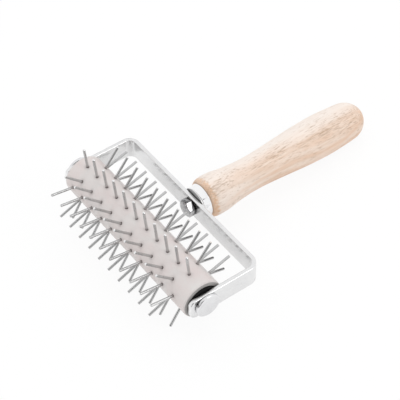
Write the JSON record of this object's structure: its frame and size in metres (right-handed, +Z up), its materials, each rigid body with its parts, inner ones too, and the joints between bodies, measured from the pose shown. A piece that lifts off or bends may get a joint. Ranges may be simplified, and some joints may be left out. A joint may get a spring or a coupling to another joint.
{
  "type": "dough docker",
  "caption": "Rolling dough docker: a plastic sleeve set with rows of steel pins, turning in a bent steel strap frame with a turned wooden handle.",
  "frame": {"origin": "on the surface that the tool lies on, under the middle of its overall width and length", "axes": "+X along the roller's axis, from the riveted disc to the formed head; +Y from the roller towards the handle's butt; +Z up from the surface"},
  "size_m": [0.1298, 0.1898, 0.055],
  "materials": {
    "strap_steel": "polished flat bar with fine lengthwise lines",
    "bright_steel": "bright plated, slightly satin",
    "brass": "bare turned brass, out of sight in the handle",
    "dark_steel": "dull, slightly dark",
    "sleeve_plastic": "satin warm grey",
    "plug_plastic": "matte black",
    "wood": "turned and sanded, not varnished, with open pores"
  },
  "bodies": {
    "frame": {"frame_strap": "strap_steel", "axle_rod": "bright_steel", "axle_end_disc": "bright_steel", "handle_screw": "bright_steel", "handle_insert": "brass", "collar": "dark_steel", "ferrule": "bright_steel", "handle": "wood"},
    "roller": {"pin_roller": "sleeve_plastic", "end_plug_left": "plug_plastic", "end_plug_right": "plug_plastic"}
  },
  "joints": [
    {"name": "roller_spin", "type": "hinge", "parent": "frame", "child": "roller", "pos_m": [0, -0.06823, 0.0275], "axis": [1, 0, 0], "continuous": true}
  ]
}
